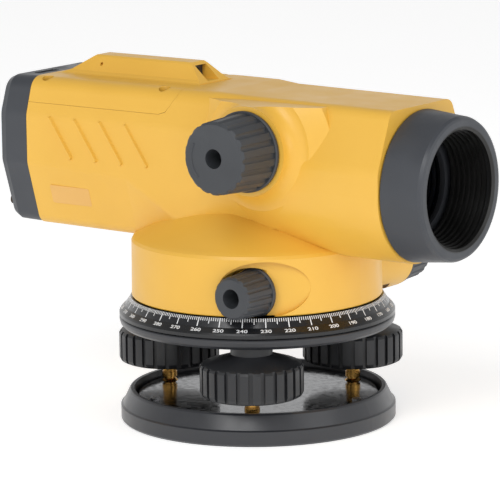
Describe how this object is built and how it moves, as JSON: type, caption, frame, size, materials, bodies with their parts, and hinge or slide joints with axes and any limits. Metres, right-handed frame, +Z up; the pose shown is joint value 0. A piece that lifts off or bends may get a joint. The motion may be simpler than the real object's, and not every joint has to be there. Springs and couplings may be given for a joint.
{
  "type": "automatic level",
  "caption": "Surveyor's automatic level: telescope with focusing knob on a rotating drum, over a graduated circle, levelling head with foot screws and a threaded base plate.",
  "frame": {"origin": "centre of the tripod thread on the underside of the base plate, on the vertical axis", "axes": "+Z up along the vertical axis, +X along the line of sight towards the objective, -Y towards the side with the focusing knob"},
  "size_m": [0.2105, 0.1249, 0.1372],
  "materials": {
    "black_metal": "satin black enamel",
    "spring_steel": "polished spring steel",
    "steel": "turned steel",
    "dark_steel": "blackened steel",
    "brass": "turned brass",
    "circle_black": "semi-gloss black",
    "circle_scale": "glossy black scale face",
    "knob_rubber": "satin charcoal",
    "foot_knob_plastic": "satin charcoal",
    "yellow_paint": "satin yellow enamel",
    "grey_plastic": "satin charcoal",
    "coated_glass": "coated optical glass",
    "clear_glass": "clear optical glass",
    "vial_glass": "vial with tinted spirit",
    "bare_aluminium": "machined",
    "name_plate": "blank plate",
    "mirror": "silvered glass"
  },
  "bodies": {
    "base": {"base_plate": "black_metal", "spring_plate": "spring_steel", "spring_plate_screws": "steel"},
    "levelling_head": {"levelling_head": "black_metal", "foot_screw_bushes": "brass", "vertical_spindle": "steel", "spindle_nut": "steel", "clutch_washer": "steel", "foot_balls_rear": "brass"},
    "front_foot": {"foot_ball_front": "brass"},
    "foot_screw_1": {"foot_screw_shaft_1": "brass", "foot_screw_knob_1": "foot_knob_plastic"},
    "foot_screw_2": {"foot_screw_shaft_2": "brass", "foot_screw_knob_2": "foot_knob_plastic"},
    "foot_screw_3": {"foot_screw_shaft_3": "brass", "foot_screw_knob_3": "foot_knob_plastic"},
    "circle": {"circle_ring": "circle_black", "circle_scale": "circle_scale"},
    "worm_wheel": {"worm_wheel": "brass"},
    "alidade": {"main_housing": "yellow_paint", "top_cover": "yellow_paint", "cover_screws": "dark_steel", "rear_cover": "grey_plastic", "lower_cover": "black_metal", "axis_bush": "brass", "shaft_bushes": "brass", "objective_barrel": "grey_plastic", "objective_cell": "black_metal", "objective_front_lens": "coated_glass", "objective_rear_lens": "coated_glass", "focus_guide": "black_metal", "compensator_frame": "bare_aluminium", "fixed_prisms": "clear_glass", "damping_magnets": "steel", "eyepiece_tube": "black_metal", "reticle_cell": "brass", "reticle_glass": "clear_glass", "sight_plate": "black_metal", "name_plate": "name_plate", "level_housing": "grey_plastic", "level_vial": "vial_glass", "level_adjusting_screws": "dark_steel", "mirror_hinge_pin": "steel"},
    "fine_motion": {"worm_shaft": "steel", "fine_motion_knob_right": "knob_rubber", "fine_motion_knob_left": "knob_rubber"},
    "focus_drive": {"focus_pinion": "steel", "focus_knob": "knob_rubber"},
    "focus_slide": {"focusing_tube": "black_metal", "focusing_lens": "coated_glass", "focus_rack": "brass"},
    "pendulum": {"pendulum": "bare_aluminium", "pendulum_prism": "clear_glass", "suspension_tapes": "spring_steel", "damping_vane": "bare_aluminium"},
    "dioptre_ring": {"dioptre_ring": "knob_rubber"},
    "eyepiece": {"eyepiece_lens_tube": "black_metal", "eyepiece_lenses": "coated_glass"},
    "level_mirror": {"mirror_frame": "grey_plastic", "mirror_glass": "mirror"}
  },
  "joints": [
    {"name": "levelling_tilt", "type": "hinge", "parent": "base", "child": "levelling_head", "pos_m": [-0.01133, 0.01758, 0.007], "axis": [-0.8406, -0.5417, 0], "range_deg": [-2.38, 2.38]},
    {"name": "foot_screw_1_lift", "type": "slide", "parent": "levelling_head", "child": "front_foot", "axis": [0, 0, 1], "range_m": [-0.0026, 0.0026]},
    {"name": "foot_screw_1_turn", "type": "hinge", "parent": "front_foot", "child": "foot_screw_1", "pos_m": [0.02267, -0.03517, 0.02], "axis": [0, 0, 1], "range_deg": [-1248.01, 1248.01]},
    {"name": "foot_screw_2_turn", "type": "hinge", "parent": "levelling_head", "child": "foot_screw_2", "pos_m": [0.01912, 0.03721, 0.02], "axis": [0, 0, 1], "range_deg": [-1248, 1248]},
    {"name": "foot_screw_3_turn", "type": "hinge", "parent": "levelling_head", "child": "foot_screw_3", "pos_m": [-0.04179, -0.00204, 0.02], "axis": [0, 0, 1], "range_deg": [-1248, 1248]},
    {"name": "circle_turn", "type": "hinge", "parent": "levelling_head", "child": "circle", "pos_m": [0, 0, 0.045], "axis": [0, 0, 1], "continuous": true},
    {"name": "slewing", "type": "hinge", "parent": "levelling_head", "child": "worm_wheel", "pos_m": [0, 0, 0.057], "axis": [0, 0, 1], "continuous": true},
    {"name": "fine_motion_turn", "type": "hinge", "parent": "worm_wheel", "child": "alidade", "pos_m": [0, 0, 0.057], "axis": [0, 0, 1], "continuous": true},
    {"name": "fine_knob_turn", "type": "hinge", "parent": "alidade", "child": "fine_motion", "pos_m": [0.0247, 0, 0.0574], "axis": [0, 1, 0], "continuous": true},
    {"name": "focus_knob_turn", "type": "hinge", "parent": "alidade", "child": "focus_drive", "pos_m": [0.0219, -0.046, 0.1108], "axis": [0, 1, 0], "range_deg": [-143.25, 143.25]},
    {"name": "focus_travel", "type": "slide", "parent": "alidade", "child": "focus_slide", "axis": [1, 0, 0], "range_m": [-0.01, 0.01]},
    {"name": "compensator_swing", "type": "hinge", "parent": "alidade", "child": "pendulum", "pos_m": [-0.029, 0, 0.113], "axis": [0, 1, 0], "range_deg": [-0.5, 0.5]},
    {"name": "dioptre_turn", "type": "hinge", "parent": "alidade", "child": "dioptre_ring", "pos_m": [-0.11, 0, 0.0977], "axis": [1, 0, 0], "range_deg": [-150.01, 150.01]},
    {"name": "eyepiece_travel", "type": "slide", "parent": "alidade", "child": "eyepiece", "axis": [1, 0, 0], "range_m": [-0.001, 0.001]},
    {"name": "mirror_fold", "type": "hinge", "parent": "alidade", "child": "level_mirror", "pos_m": [-0.0267, 0.0524, 0.0764], "axis": [0, 1, 0], "range_deg": [0, 50]}
  ],
  "couplings": [
    {"joint": "levelling_tilt", "follows": "foot_screw_1_lift", "rad_per_m": -15.934},
    {"joint": "foot_screw_1_turn", "follows": "foot_screw_1_lift", "rad_per_m": -8377.6},
    {"joint": "fine_knob_turn", "follows": "fine_motion_turn", "ratio": 69},
    {"joint": "focus_knob_turn", "follows": "focus_travel", "rad_per_m": -250},
    {"joint": "dioptre_turn", "follows": "eyepiece_travel", "rad_per_m": 2618}
  ]
}
